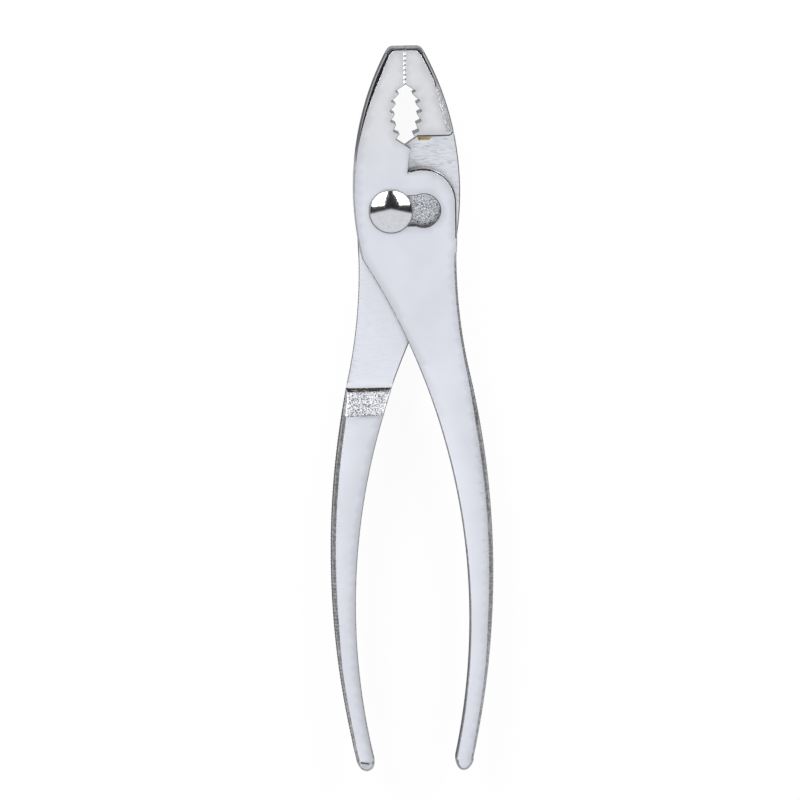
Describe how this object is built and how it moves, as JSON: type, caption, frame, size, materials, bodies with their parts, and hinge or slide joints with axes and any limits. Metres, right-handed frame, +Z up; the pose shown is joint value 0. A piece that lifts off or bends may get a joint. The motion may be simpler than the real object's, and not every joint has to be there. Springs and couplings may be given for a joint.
{
  "type": "slip joint pliers",
  "caption": "Slip joint pliers: crossed forged steel halves on a bolt that shifts along a figure-eight slot, with serrated jaws, curved pipe teeth, a wire cutter and bowed handles.",
  "frame": {"origin": "on the pivot bolt's axis, in the plane of the nut's outer face, which the tool lies on", "axes": "+Y along the tool towards the tips of the jaws, +X across it towards the free seat of the slot, +Z up through the bolt's domed head"},
  "size_m": [0.0453, 0.2026, 0.0164],
  "materials": {
    "forged_steel": "satin plated",
    "bolt_plating": "polished",
    "nut_plating": "satin plated"
  },
  "bodies": {
    "front": {"front_half": "forged_steel"},
    "pivot": {"pivot_bolt": "bolt_plating", "pivot_nut": "nut_plating"},
    "rear": {"rear_half": "forged_steel"}
  },
  "joints": [
    {"name": "slip", "type": "slide", "parent": "front", "child": "pivot", "axis": [1, 0, 0], "range_m": [0, 0.0091]},
    {"name": "jaw_hinge", "type": "hinge", "parent": "pivot", "child": "rear", "pos_m": [0, 0, 0], "axis": [0, 0, -1], "range_deg": [0, 50]}
  ]
}
